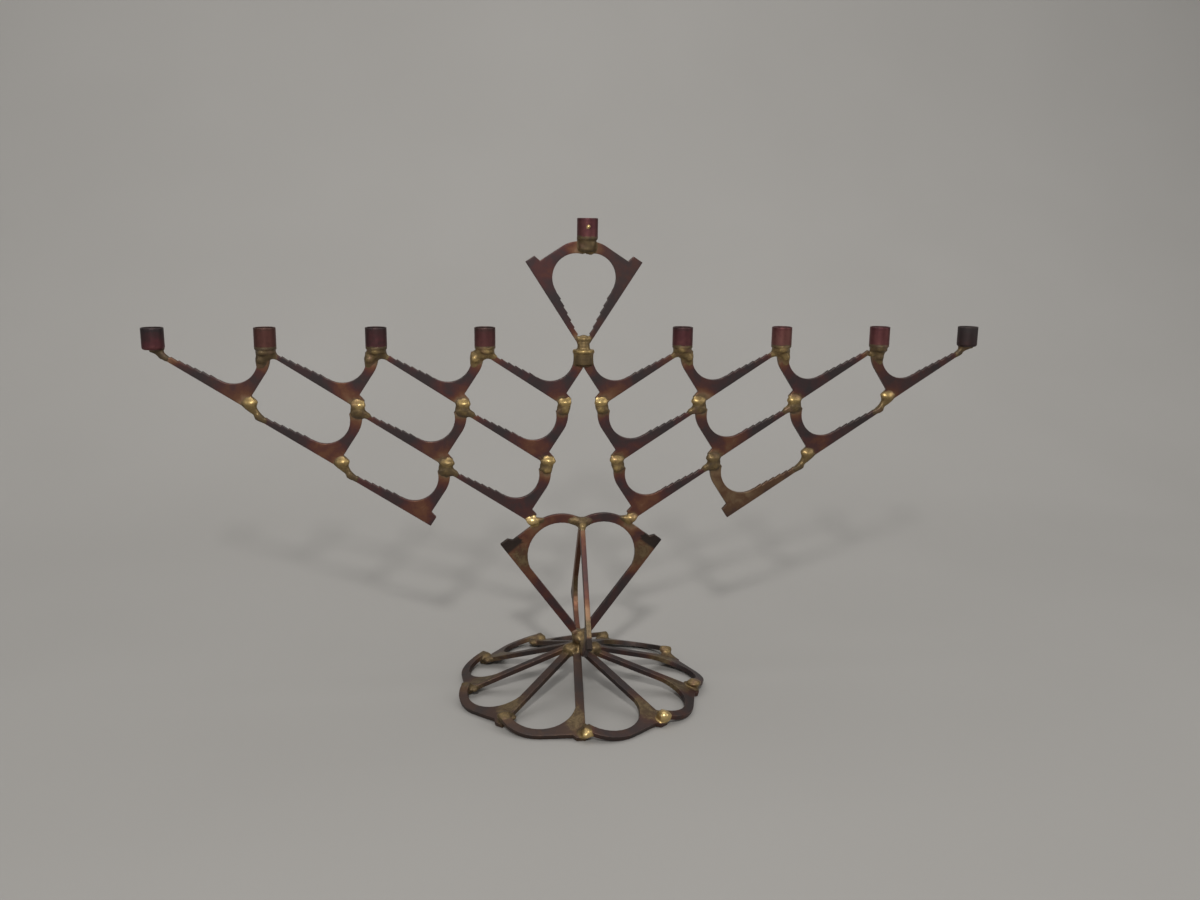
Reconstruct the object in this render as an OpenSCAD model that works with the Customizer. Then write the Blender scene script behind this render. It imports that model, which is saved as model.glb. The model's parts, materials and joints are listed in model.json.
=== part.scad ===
// Nine-cup menorah: flat stamped steel blades of two patterns, copper cups and brass braze.
// Millimetres, +Z up, -Y is the front. The origin lies on the table under the stem.
// Every blade is drawn with its straight back edge on local X, its toe at x = 0, its tip at
// x = length, and its curved arm rising towards +Y.

/* [Plate] */
// Thickness of every stamped blade
plate_t = 2.8; // [2:0.1:3.4]

/* [Short blade] */
// Length of the back edge, toe to tip
short_len = 53.6; // [50:0.2:54]
// Width of the bar where it leaves the crotch
short_bar_w = 5.6; // [4:0.2:7]
// Width of the bar at its tip
short_tip_w = 2; // [1:0.2:3]
// Number of small steps along the tapering edge
short_steps = 7; // [3:1:10]
// Width of the curved arm at its root
short_arm_w = 5.2; // [4:0.2:6]
// Radius of the round crotch between arm and bar
short_crotch_r = 13.2; // [11:0.2:15]
// Radius of the arm's outer edge
short_arm_r = 16.9; // [16:0.1:19]

/* [Long blade] */
// Length of the back edge, toe to tip
long_len = 75; // [70:0.5:76]
// Width of the bar
long_bar_w = 4.9; // [4:0.1:6]
// Width of the bar at its tip
long_tip_w = 2.2; // [1.5:0.1:3]
// Width of the curved arm
long_arm_w = 5; // [4:0.1:6]
// Radius of the round crotch between arm and bar
long_crotch_r = 19.3; // [17:0.1:21]

/* [Wings] */
// Distance between neighbouring cups, and between neighbouring blades of a row
cup_pitch = 57; // [56:0.25:60]
// Height of the eight low cup rims above the table
cup_rim_z = 214.6; // [212:0.2:218]
// How far each row of blades sits inboard of the row above
row_inset = 47.3; // [46:0.1:49]
// How far each row of blades sits below the row above
row_drop = 33.6; // [33:0.1:36]
// Slope of the blades' back edges
wing_slope = 33.2; // [31:0.2:35]

/* [Cups] */
// Outside diameter of a cup
cup_od = 11.6; // [11:0.1:13]
// Inside diameter, for a candle of about 9.5 mm
cup_id = 9.8; // [9:0.1:10.2]
// Height of a cup
cup_h = 11.6; // [10:0.1:12]
// Thickness of a cup's floor
cup_floor = 1.5; // [1:0.1:3]
// Height of the middle cup's rim above the table
shamash_rim_z = 274; // [273:0.5:277]

/* [Stem] */
// Distance of the side heels from the stem's axis
stem_heel_x = 47.2; // [46:0.2:49]
// Height of the side heels above the apex of the base
stem_heel_rise = 63.3; // [62:0.1:65]
// Turn of the front stem blade about the stem
front_turn = -1.5; // [-4:0.5:4]
// Turn of the rear stem blade about the stem
rear_turn = -1.5; // [-4:0.5:4]

/* [Base] */
// Radius of the circle through the heels
base_r = 70.5; // [69:0.5:73]
// Height of the cone's apex above the heels
base_rise = 25.2; // [23:0.2:27]
// Turn of the base about the stem, towards -X at the front
base_turn = 5; // [0:0.5:8]
// Twist of each base blade about its back edge, which lifts its arm onto the next blade
arm_lift = 4.8; // [4.5:0.1:6]

/* [Hidden] */
$fn = 64;

LEFT = -1;
RIGHT = 1;
SIDES = [LEFT, RIGHT];
FRONT = -1;
REAR = 1;
ROW_BLADES = [4, 3, 2];
CUPS = 4;
SPOKES = 9;

STEEL = [0.30, 0.16, 0.12];
COPPER = [0.38, 0.11, 0.10];
BRASS = [0.74, 0.56, 0.24];

// stamped outlines
arc_steps = 16;
short_toe = [3.9, 5.9];
short_notch_y = 7;
short_arm_y = 21.6;
short_sweep = 44;
short_step_dip = 0.18;
long_toe = [2.4, 5.1];
long_notch_y = 7.2;
long_arm_y = 23.7;
long_sweep = 72;
long_nose = 9;
long_arm_r = long_crotch_r + long_arm_w;
long_arm_c = [long_toe.x + long_arm_r, long_arm_y];

// the base is a shallow cone of nine flat facets, one blade lying in each
spoke_step = 360 / SPOKES;
spoke_nudge = [0, 0, 0, -1, -5, -5, 0, 0, -1];
spoke_len = norm([base_r, base_rise]);
facet_tilt = atan(base_rise / (base_r * cos(spoke_step / 2)));
half_facet = asin(base_r * sin(spoke_step / 2) / spoke_len);
// rise of a blade's local X, Y and Z axes, all of them unit vectors
spoke_up = base_rise / spoke_len;
arm_up = cos(facet_tilt) * sin(arm_lift) - spoke_up * tan(half_facet) * cos(arm_lift);
plate_up = cos(facet_tilt) * cos(arm_lift) + spoke_up * tan(half_facet) * sin(arm_lift);
// it stands on its toes or on the round backs of its arms, whichever hang lower
arm_drop = long_arm_r * norm([spoke_up, arm_up]) - long_arm_c * [spoke_up, arm_up];
heel_z = max(0, -long_toe.y * arm_up, arm_drop) + plate_up * plate_t / 2;
hub_z = heel_z + base_rise;

fit_gap = 0.15;
hub_core_r = 3;
big = 200;

// stem; the lobes of the front and rear blades rest on the spokes
stem_slope = atan(stem_heel_rise / stem_heel_x);
lobe_c = in_stem(long_arm_c);
arm_end = long_arm_c + (long_arm_r - long_arm_w / 2) * [-cos(long_sweep), sin(long_sweep)];
stem_top_z = hub_z + in_stem(arm_end).y;
spoke_top_z = hub_z - lobe_c.x * base_rise / base_r + plate_t / 2 / cos(facet_tilt) + 3 * fit_gap;
brace_apex_z = spoke_top_z + lobe_c.y + long_arm_r / cos(atan(base_rise / base_r));

// wings and the heart above them
wing_toe = [CUPS * cup_pitch - 46.9, cup_rim_z - 45];
collar_z = cup_rim_z - 13.4;
heart_toe = [32.5, shamash_rim_z - 23.7];
heart_slope = 57;
cup_bottom_z = cup_rim_z - cup_h;
shamash_bottom_z = shamash_rim_z - cup_h;

// hand-set errors of the cups along X, outermost cup first
cup_nudge_left = [-1.1, -1, 0.3, 2.1];
cup_nudge_right = [1, 3.3, 1, -0.3];
shamash_nudge = 1.6;

// ---------- names ----------
function side_word(side) = side == LEFT ? "left" : "right";
function end_word(end) = end == FRONT ? "front" : "rear";
function wing_name(side, row, k) = str("wing_", side_word(side), "_row", row + 1, "_blade", k + 1);
function cup_name(side, k) = str("cup_", side_word(side), "_", k + 1);
function spoke_name(k) = str("base_blade_", k + 1);

// ---------- stamped blades ----------
function arc(c, r, from, to) =
    [for (i = [0:arc_steps]) let (a = from + (to - from) * i / arc_steps) c + r * [cos(a), sin(a)]];

// distance from p along the unit vector d to the circle of radius r about c
function to_circle(p, d, c, r) =
    let (q = p - c, b = q * d) -b - sqrt(b * b - q * q + r * r);

function angle_of(v) = (atan2(v.y, v.x) + 360) % 360;

// a tapering edge that falls in small steps from [x0, w0] to [x1, w1]
function stepped_edge(x0, w0, x1, w1, n) = [
    for (i = [0:n - 1], at_end = [0, 1])
        [x0 + (x1 - x0) * (i + at_end) / n, w0 + (w1 - w0) * (i + 0.5) / n + short_step_dip * at_end]
];

function short_outline() =
    let (
        outer_c = [short_toe.x + short_arm_r, short_arm_y],
        inner_c = [short_toe.x + short_arm_w + short_crotch_r, short_bar_w + short_crotch_r],
        across = [cos(short_sweep), -sin(short_sweep)],
        outer_end = outer_c - short_arm_r * across,
        inner_end = outer_end + to_circle(outer_end, across, inner_c, short_crotch_r) * across
    )
    concat(
        [[0, 0], [0, short_toe.y], [short_toe.x, short_notch_y]],
        arc(outer_c, short_arm_r, 180, 180 - short_sweep),
        arc(inner_c, short_crotch_r, angle_of(inner_end - inner_c), 270),
        stepped_edge(inner_c.x + 1, short_bar_w, short_len, short_tip_w, short_steps),
        [[short_len, 0]]
    );

function long_outline() =
    let (
        crotch_end = asin((long_arm_y - long_bar_w) / long_crotch_r)
    )
    concat(
        [[0, 0], [0, long_toe.y], [long_toe.x, long_notch_y]],
        arc(long_arm_c, long_arm_r, 180, 180 - long_sweep),
        arc(long_arm_c, long_crotch_r, 180 - long_sweep, 180 + crotch_end),
        [[long_len - long_nose, long_bar_w], [long_len, long_tip_w], [long_len, 0]]
    );

module plate(outline) {
    color(STEEL)
        linear_extrude(height = plate_t, center = true)
            polygon(outline);
}

// stands a plate up in the XZ plane, on the right of the stem or mirrored to its left
module upright(side) {
    mirror([side == LEFT ? 1 : 0, 0, 0])
        rotate([90, 0, 0])
            children();
}

// ---------- wings ----------
function toe_at(row, k) = wing_toe - [k * cup_pitch + row * row_inset, row * row_drop];

module wing_blade(side, row, k) {
    upright(side)
        intersection() {
            translate(toe_at(row, k))
                rotate(wing_slope)
                    plate(short_outline());
            translate([fit_gap, 0, -plate_t])
                cube([CUPS * cup_pitch + cup_od, big + cup_od + cup_h, 2 * plate_t]);
        }
}

module heart_blade(side) {
    upright(side)
        difference() {
            translate(heart_toe)
                rotate(180 + heart_slope)
                    mirror([0, 1, 0])
                        plate(short_outline());
            translate([fit_gap - big, 0, -plate_t])
                cube([big, 2 * big, 2 * plate_t]);
        }
}

// ---------- stem ----------
// a point of a side blade's outline, from the apex of the stem's V
function in_stem(p) =
    [stem_heel_x - p.x * cos(stem_slope) - p.y * sin(stem_slope),
     stem_heel_rise - p.x * sin(stem_slope) + p.y * cos(stem_slope)];

// one long blade to the right of the axis, tip down, apex of its back edge at the origin
module stem_blade_shape() {
    translate([stem_heel_x, stem_heel_rise])
        rotate(180 + stem_slope)
            mirror([0, 1, 0])
                plate(long_outline());
}

module stem_side_blade(side) {
    upright(side)
        translate([0, hub_z])
            difference() {
                stem_blade_shape();
                translate([fit_gap - big, 0, -plate_t])
                    cube([big, big, 2 * plate_t]);
            }
}

// the front and rear blades stand on their arms, tip up, and butt against the side blades
module stem_end_blade(end) {
    rotate([0, 0, end * 90 + (end == REAR ? rear_turn : front_turn)])
        upright(RIGHT)
            translate([0, brace_apex_z])
                mirror([0, 1, 0])
                    difference() {
                        stem_blade_shape();
                        translate([plate_t / 2 + 2 * fit_gap - big, 0, -plate_t])
                            cube([big, big, 2 * plate_t]);
                    }
}

// ---------- base ----------
function spoke_azimuth(k) = base_turn + k * spoke_step + spoke_nudge[k % SPOKES];

// puts a blade into its facet of the cone; azimuth 0 is the front, and it grows towards -X
module in_facet(k) {
    translate([0, 0, hub_z])
        rotate([0, 0, -90 - spoke_azimuth(k) - spoke_step / 2])
            rotate([0, facet_tilt, 0])
                rotate([0, 0, half_facet])
                    translate([spoke_len, 0, 0])
                        rotate([arm_lift, 0, 180])
                            children();
}

// each blade's bar stops at the back edge of the next one, and short of the middle
module base_blade(k) {
    difference() {
        in_facet(k)
            plate(long_outline());
        in_facet(k + 1)
            translate([long_len / 2, -fit_gap, -big / 2])
                cube(big);
        translate([0, 0, hub_z - long_len / 2])
            cylinder(h = long_len, r = hub_core_r);
    }
}

// ---------- cups ----------
cup_edge = 0.8;
module cup(bottom) {
    color(COPPER)
        translate(bottom)
            difference() {
                union() {
                    cylinder(h = cup_edge, r1 = cup_od / 2 - cup_edge, r2 = cup_od / 2);
                    translate([0, 0, cup_edge])
                        cylinder(h = cup_h - cup_edge, d = cup_od);
                }
                translate([0, 0, cup_floor])
                    cylinder(h = cup_h, d = cup_id);
            }
}

function cup_x(side, k) =
    side * (CUPS - k) * cup_pitch + (side == LEFT ? cup_nudge_left : cup_nudge_right)[k];

module wing_cup(side, k) {
    cup([cup_x(side, k), 0, cup_bottom_z]);
}

module shamash_cup() {
    cup([shamash_nudge, 0, shamash_bottom_z]);
}

// ---------- braze ----------
toe_blob_r = 3.9;
tip_blob_r = 3;
end_blob_r = 2.7;
cup_pad_r = 4.7;
cup_pad_h = 4;
collar_r = 5.2;
collar_h = 8;
flange_r = 6;
flange_h = 2.4;
neck_r = 3.1;
neck_h = 8.4;
drop_r = 1.7;
hub_blob_r = 6.2;
hub_blob_rise = 2.5;
lobe_r = 4.6;
rim_blob_r = 3.5;
rim_blob_at = [4.4, 0.2, 2.2];

module blob(x, z, r, y = 0) {
    translate([x, y, z])
        sphere(r);
}

// braze that fills its first child except where the other children are
module filler() {
    color(BRASS)
        difference() {
            children(0);
            children([1:$children - 1]);
        }
}

// under each cup, round the arm of the blade outboard of it and the tip of the one inboard
module braze_cup(side, k) {
    x = side * (CUPS - k) * cup_pitch;
    filler() {
        union() {
            if (k == 0) {
                blob(x - side * 2.2, cup_bottom_z - 1.7, end_blob_r);
            } else {
                translate([x, 0, cup_bottom_z - cup_pad_h])
                    cylinder(h = cup_pad_h, r = cup_pad_r);
                blob(x + side, cup_bottom_z - cup_pad_h, toe_blob_r - 0.3);
            }
        }
        wing_blade(side, 0, k);
        if (k > 0)
            wing_blade(side, 0, k - 1);
        wing_cup(side, k);
    }
}

module braze_cups(side) {
    for (k = [0:CUPS - 1])
        braze_cup(side, k);
}

// at each toe of the row above: over the toe, and over the arm and the tip that meet it
module braze_row(side, row) {
    for (k = [0:ROW_BLADES[row - 1] - 1]) {
        toe = toe_at(row - 1, k);
        below = toe + (k == 0 ? [-1.6, 0.6] : [0.8, -2.4]);
        filler() {
            union() {
                blob(side * (toe.x + 0.8), toe.y + 2.4, toe_blob_r);
                blob(side * below.x, below.y, tip_blob_r);
            }
            wing_blade(side, row - 1, k);
            if (k < ROW_BLADES[row])
                wing_blade(side, row, k);
            if (k > 0)
                wing_blade(side, row, k - 1);
        }
    }
}

module braze_wing_to_stem(side) {
    toe = toe_at(2, 1);
    filler() {
        blob(side * (toe.x - 1.2), toe.y + 0.6, toe_blob_r);
        wing_blade(side, 2, 1);
        stem_side_blade(side);
    }
}

// joins the two wings and the tips of the heart
module braze_collar() {
    filler() {
        translate([0, 0, collar_z])
            union() {
                translate([0, 0, -collar_h])
                    cylinder(h = collar_h, r = collar_r);
                translate([0, 0, -flange_h / 2])
                    cylinder(h = flange_h, r = flange_r);
                cylinder(h = neck_h, r = neck_r);
            }
        wing_blade(LEFT, 0, CUPS - 1);
        wing_blade(RIGHT, 0, CUPS - 1);
        heart_blade(LEFT);
        heart_blade(RIGHT);
    }
}

// under the middle cup, with a stray drop on the front of the cup
module braze_shamash() {
    filler() {
        union() {
            translate([shamash_nudge / 2, 0, shamash_bottom_z - cup_pad_h - 1.5])
                cylinder(h = cup_pad_h + 1.5, r = cup_pad_r + 0.3);
            blob(shamash_nudge, shamash_bottom_z - cup_pad_h - 1, tip_blob_r);
            blob(shamash_nudge + 0.2, shamash_bottom_z + 6.8, drop_r, -cup_od / 2);
        }
        heart_blade(LEFT);
        heart_blade(RIGHT);
        translate([shamash_nudge, 0, shamash_bottom_z])
            cylinder(h = cup_h, d = cup_od);
    }
}

module braze_stem_top() {
    filler() {
        blob(0, stem_top_z + 0.8, toe_blob_r);
        stem_side_blade(LEFT);
        stem_side_blade(RIGHT);
        stem_end_blade(FRONT);
        stem_end_blade(REAR);
    }
}

// the ring that the tips of the nine spokes take up
module spoke_tips() {
    slope = base_rise / base_r;
    half = plate_t / 2 + 4 * fit_gap;
    reach = 3 * hub_core_r;
    translate([0, 0, hub_z])
        rotate_extrude()
            polygon([
                [hub_core_r, half - hub_core_r * slope],
                [reach, half - reach * slope],
                [reach, -half - reach * slope - fit_gap],
                [hub_core_r, -half - hub_core_r * slope]
            ]);
}

module braze_hub() {
    filler() {
        blob(0, hub_z + hub_blob_rise, hub_blob_r);
        stem_side_blade(LEFT);
        stem_side_blade(RIGHT);
        stem_end_blade(FRONT);
        stem_end_blade(REAR);
        spoke_tips();
    }
}

module braze_hub_lobes() {
    filler() {
        union() {
            blob(-7, hub_z - 2.4, lobe_r, -4.5);
            blob(8, hub_z - 2.4, lobe_r, -4.5);
        }
        blob(0, hub_z + hub_blob_rise, hub_blob_r + fit_gap);
        stem_end_blade(FRONT);
        for (k = [0:SPOKES - 1])
            base_blade(k);
    }
}

// beside each heel, where the arm of the blade before it arrives
module braze_rim() {
    for (k = [0:SPOKES - 1])
        filler() {
            in_facet(k + 1)
                translate(rim_blob_at)
                    sphere(rim_blob_r);
            base_blade(k);
            base_blade((k + 1) % SPOKES);
        }
}

// ---------- the parts ----------
for (side = SIDES, row = [0:2], k = [0:ROW_BLADES[row] - 1])
    wing_blade(side, row, k);
for (side = SIDES)
    heart_blade(side);
for (side = SIDES)
    stem_side_blade(side);
for (end = [FRONT, REAR])
    stem_end_blade(end);
for (k = [0:SPOKES - 1])
    base_blade(k);
for (side = SIDES, k = [0:CUPS - 1])
    wing_cup(side, k);
shamash_cup();  // cup_shamash
for (side = SIDES)
    braze_cups(side);
for (side = SIDES, row = [1, 2])
    braze_row(side, row);
for (side = SIDES)
    braze_wing_to_stem(side);
braze_collar();
braze_shamash();
braze_stem_top();
braze_hub();
braze_hub_lobes();
braze_rim();
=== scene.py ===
import json
import math

import bmesh
import bpy
import numpy as np
from mathutils import Matrix, Vector


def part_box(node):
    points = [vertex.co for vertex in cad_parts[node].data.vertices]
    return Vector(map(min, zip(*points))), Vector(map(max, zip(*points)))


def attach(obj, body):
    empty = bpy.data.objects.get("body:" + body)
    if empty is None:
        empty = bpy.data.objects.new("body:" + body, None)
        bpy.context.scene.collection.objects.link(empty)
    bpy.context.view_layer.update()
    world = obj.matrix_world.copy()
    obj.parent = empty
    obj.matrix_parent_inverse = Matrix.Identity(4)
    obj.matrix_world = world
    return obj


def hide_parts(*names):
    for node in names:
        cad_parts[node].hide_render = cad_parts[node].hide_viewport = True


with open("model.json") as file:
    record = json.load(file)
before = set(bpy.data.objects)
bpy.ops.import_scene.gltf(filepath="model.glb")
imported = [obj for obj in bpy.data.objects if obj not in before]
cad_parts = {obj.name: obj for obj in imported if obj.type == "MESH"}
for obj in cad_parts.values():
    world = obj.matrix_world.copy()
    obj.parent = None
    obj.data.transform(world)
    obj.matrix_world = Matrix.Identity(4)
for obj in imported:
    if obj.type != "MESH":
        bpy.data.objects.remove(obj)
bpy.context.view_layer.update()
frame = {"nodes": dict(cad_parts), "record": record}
scene = bpy.context.scene
NODES = frame["nodes"]
MM = 0.001
WELD = 2e-6              # metres: corners of a CAD mesh closer than this are one

# ---------------------------------------------------------------- camera
IMAGE_W, SENSOR = 1200.0, 36.0
FOCAL_PX = 1052.85
YAW, PITCH, ROLL = 0.1522, 0.2072, 0.0130
EYE = Vector((-79.4, -583.6, 268.4)) * MM


def camera_matrix():
    ahead = Vector((math.sin(YAW) * math.cos(PITCH), math.cos(YAW) * math.cos(PITCH), -math.sin(PITCH)))
    side = Vector((math.cos(YAW), -math.sin(YAW), 0.0))
    up = side.cross(ahead)
    right = math.cos(ROLL) * side + math.sin(ROLL) * up
    top = -math.sin(ROLL) * side + math.cos(ROLL) * up
    m = Matrix.Identity(4)
    for col, axis in enumerate((right, top, -ahead)):
        m.col[col][:3] = axis
    m.translation = EYE
    return m


lens = bpy.data.cameras.new("camera")
lens.sensor_width = SENSOR
lens.lens = FOCAL_PX * SENSOR / IMAGE_W
lens.clip_start, lens.clip_end = 0.01, 20.0
camera = bpy.data.objects.new("camera", lens)
camera.matrix_world = camera_matrix()
scene.collection.objects.link(camera)
scene.camera = camera


# ---------------------------------------------------------------- materials
RIPPLES = 3600.0         # radians of ripple for each metre of height on the collar's neck
RIPPLE_WANDER = 0.0009   # metres


class Nodes:
    """A material's node tree, with a method for each kind of node the scene uses."""

    def __init__(self, name):
        self.mat = bpy.data.materials.new(name)
        self.mat.use_nodes = True
        self.tree = self.mat.node_tree
        self.tree.nodes.clear()
        self.out = self.tree.nodes.new("ShaderNodeOutputMaterial")
        self.bsdf = self.tree.nodes.new("ShaderNodeBsdfPrincipled")
        self.link(self.bsdf.outputs[0], self.out.inputs["Surface"])
        self.where = self.tree.nodes.new("ShaderNodeTexCoord").outputs["Object"]

    def link(self, a, b):
        self.tree.links.new(a, b)

    def put(self, socket, value):
        if isinstance(value, bpy.types.NodeSocket):
            self.link(value, socket)
        else:
            socket.default_value = value

    def attribute(self, name):
        n = self.tree.nodes.new("ShaderNodeAttribute")
        n.attribute_name = name
        split = self.tree.nodes.new("ShaderNodeSeparateColor")
        self.link(n.outputs["Color"], split.inputs[0])
        return [*split.outputs, n.outputs["Alpha"]]

    def stretch(self, scale):
        n = self.tree.nodes.new("ShaderNodeMapping")
        self.link(self.where, n.inputs["Vector"])
        n.inputs["Scale"].default_value = scale
        return n.outputs[0]

    def noise(self, size_mm, detail=3.0, rough=0.55, warp=0.0, vector=None):
        n = self.tree.nodes.new("ShaderNodeTexNoise")
        self.link(vector or self.where, n.inputs["Vector"])
        n.inputs["Scale"].default_value = 1000.0 / size_mm
        n.inputs["Detail"].default_value = detail
        n.inputs["Roughness"].default_value = rough
        n.inputs["Distortion"].default_value = warp
        return n.outputs["Fac"]

    def axis(self, i):
        n = self.tree.nodes.new("ShaderNodeSeparateXYZ")
        self.link(self.where, n.inputs[0])
        return n.outputs[i]

    def math(self, op, a, b=0.0, c=0.0, clamp=False):
        n = self.tree.nodes.new("ShaderNodeMath")
        n.operation = op
        n.use_clamp = clamp
        for socket, value in zip(n.inputs, (a, b, c)):
            self.put(socket, value)
        return n.outputs[0]

    def span(self, value, lo, hi, to_lo=0.0, to_hi=1.0):
        n = self.tree.nodes.new("ShaderNodeMapRange")
        n.interpolation_type = "SMOOTHSTEP"
        for socket, v in zip(n.inputs, (value, lo, hi, to_lo, to_hi)):
            self.put(socket, v)
        return n.outputs[0]

    def ramp(self, value, stops):
        n = self.tree.nodes.new("ShaderNodeValToRGB")
        n.color_ramp.interpolation = "EASE"
        e = n.color_ramp.elements
        while len(e) < len(stops):
            e.new(0.5)
        for item, (at, colour) in zip(e, stops):
            item.position = at
            item.color = (*colour, 1.0)
        self.link(value, n.inputs[0])
        return n.outputs[0]

    def mix(self, fac, a, b):
        n = self.tree.nodes.new("ShaderNodeMix")
        n.data_type = "RGBA"
        for key, value in (("Factor_Float", fac), ("A_Color", a), ("B_Color", b)):
            socket = next(s for s in n.inputs if s.identifier == key)
            if isinstance(value, tuple) and len(value) == 3:
                value = (*value, 1.0)
            self.put(socket, value)
        return next(s for s in n.outputs if s.identifier == "Result_Color")

    def bump(self, height, depth_mm, strength=1.0, after=None):
        n = self.tree.nodes.new("ShaderNodeBump")
        n.inputs["Distance"].default_value = depth_mm * MM
        n.inputs["Strength"].default_value = strength
        self.link(height, n.inputs["Height"])
        if after is not None:
            self.link(after, n.inputs["Normal"])
        return n.outputs[0]

    def finish(self, colour, rough, metal, normal):
        self.put(self.bsdf.inputs["Base Color"], colour)
        self.put(self.bsdf.inputs["Roughness"], rough)
        self.put(self.bsdf.inputs["Metallic"], metal)
        self.put(self.bsdf.inputs["Normal"], normal)
        return self.mat


def steel_material():
    """Heat-tinted steel. finish = (heat, brass film, soot, worn edge), tone = (hue, scale, -, -)."""
    n = Nodes("heat_tinted_steel")
    heat, film, soot, edge = n.attribute("finish")
    hue, scale, _, _ = n.attribute("tone")
    broad = n.noise(14.0, 2.0, 0.5, 0.6)
    patch = n.noise(4.5, 4.0, 0.6, 0.8)
    fine = n.noise(0.9, 4.0, 0.65)
    grain = n.noise(0.22, 2.0, 0.6)
    along = n.noise(1.0, 3.0, 0.6, 0.0, n.stretch((1.0, 1.0, 0.22)))

    # the tint follows the heat, broken up by two sizes of patch
    t = n.math("MULTIPLY_ADD", n.math("SUBTRACT", broad, 0.5), 1.20, heat)
    t = n.math("MULTIPLY_ADD", n.math("SUBTRACT", patch, 0.5), 0.55, t, clamp=True)
    tint = n.ramp(t, [
        (0.00, (0.054, 0.043, 0.044)),
        (0.18, (0.068, 0.043, 0.044)),
        (0.36, (0.092, 0.042, 0.041)),
        (0.54, (0.124, 0.050, 0.038)),
        (0.72, (0.160, 0.070, 0.042)),
        (0.88, (0.205, 0.098, 0.058)),
        (1.00, (0.260, 0.150, 0.090)),
    ])
    brown = n.ramp(t, [
        (0.00, (0.056, 0.046, 0.044)),
        (0.35, (0.080, 0.052, 0.042)),
        (0.70, (0.122, 0.072, 0.043)),
        (1.00, (0.200, 0.135, 0.078)),
    ])
    colour = n.mix(n.span(n.math("ADD", hue, n.math("MULTIPLY", patch, 0.35)), 0.42, 0.92), tint, brown)
    # thin brass that ran out from the joints
    film_at = n.span(n.math("MULTIPLY_ADD", n.math("SUBTRACT", patch, 0.5), 1.1, film), 0.12, 0.95)
    brass = n.mix(n.span(n.math("MULTIPLY_ADD", fine, 0.4, n.math("MULTIPLY", patch, 0.6)), 0.40, 0.62),
                  (0.100, 0.070, 0.040), (0.185, 0.134, 0.072))
    colour = n.mix(film_at, colour, brass)
    # soot and scale
    dark = n.span(n.math("MULTIPLY_ADD", n.math("SUBTRACT", broad, 0.5), 0.8, soot), 0.35, 0.95)
    colour = n.mix(n.math("MULTIPLY", dark, 0.9), colour, (0.026, 0.023, 0.021))
    flecks = n.span(n.noise(0.55, 3.0, 0.7), 0.60, 0.72)
    colour = n.mix(n.math("MULTIPLY", flecks, n.math("MULTIPLY_ADD", scale, 0.4, 0.12)), colour,
                   (0.034, 0.024, 0.021))
    # handling has polished the edges
    rub = n.math("MULTIPLY", edge, n.span(n.noise(2.4, 3.0, 0.6), 0.40, 0.66))
    colour = n.mix(n.math("MULTIPLY", rub, 0.42), colour, (0.270, 0.190, 0.145))
    rough = n.math("MULTIPLY_ADD", fine, 0.22, 0.36)
    rough = n.math("MULTIPLY_ADD", along, 0.06, rough)
    rough = n.math("MULTIPLY_ADD", dark, 0.16, rough)
    rough = n.math("MULTIPLY_ADD", rub, -0.12, rough)
    rough = n.math("MULTIPLY_ADD", film_at, -0.05, rough, clamp=True)
    metal = n.math("SUBTRACT", 0.85, n.math("MULTIPLY", flecks, 0.40), clamp=True)
    normal = n.bump(grain, 0.010, 0.6)
    normal = n.bump(along, 0.014, 0.5, normal)
    normal = n.bump(n.math("MULTIPLY_ADD", film_at, 0.9, fine), 0.040, 0.7, normal)
    return n.finish(colour, rough, metal, normal)


def brass_material():
    """Raw braze. finish = (age, -, soot, ripple)."""
    n = Nodes("braze_brass")
    age, _, soot, ripple = n.attribute("finish")
    patch = n.noise(3.0, 4.0, 0.6, 0.5)
    fine = n.noise(0.8, 4.0, 0.6, 0.3)
    grain = n.noise(0.2, 2.0, 0.6)
    t = n.math("MULTIPLY_ADD", n.math("SUBTRACT", patch, 0.5), 0.70, age)
    t = n.math("MULTIPLY_ADD", n.math("SUBTRACT", fine, 0.5), 0.25, t, clamp=True)
    colour = n.ramp(t, [
        (0.00, (0.700, 0.520, 0.235)),
        (0.25, (0.440, 0.312, 0.130)),
        (0.50, (0.225, 0.156, 0.069)),
        (0.75, (0.128, 0.088, 0.043)),
        (1.00, (0.078, 0.053, 0.031)),
    ])
    pink = n.span(n.noise(6.0, 2.0, 0.5), 0.54, 0.72)
    colour = n.mix(n.math("MULTIPLY", pink, 0.40), colour, (0.230, 0.125, 0.085))
    # glassy flux and soot in the hollows
    flux = n.span(n.noise(1.6, 4.0, 0.6, 0.8), 0.56, 0.72)
    colour = n.mix(n.math("MULTIPLY", flux, n.math("MULTIPLY_ADD", age, 0.40, 0.15)), colour,
                   (0.070, 0.050, 0.034))
    colour = n.mix(n.math("MULTIPLY", soot, 0.8), colour, (0.040, 0.033, 0.028))
    rough = n.math("MULTIPLY_ADD", t, 0.18, 0.28)
    rough = n.math("MULTIPLY_ADD", fine, 0.12, rough)
    rough = n.math("MULTIPLY_ADD", flux, 0.08, rough, clamp=True)
    metal = n.math("SUBTRACT", 0.95, n.math("MULTIPLY", n.math("MAXIMUM", flux, t), 0.35), clamp=True)
    height = n.math("ADD", n.axis(2), n.math("MULTIPLY", patch, RIPPLE_WANDER))
    rings = n.math("SINE", n.math("MULTIPLY", height, RIPPLES))
    normal = n.bump(grain, 0.008, 0.5)
    normal = n.bump(n.math("MULTIPLY", rings, ripple), 0.10, 1.0, normal)
    normal = n.bump(n.math("MULTIPLY_ADD", patch, 1.6, fine), 0.035, 0.6, normal)
    return n.finish(colour, rough, metal, normal)


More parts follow.
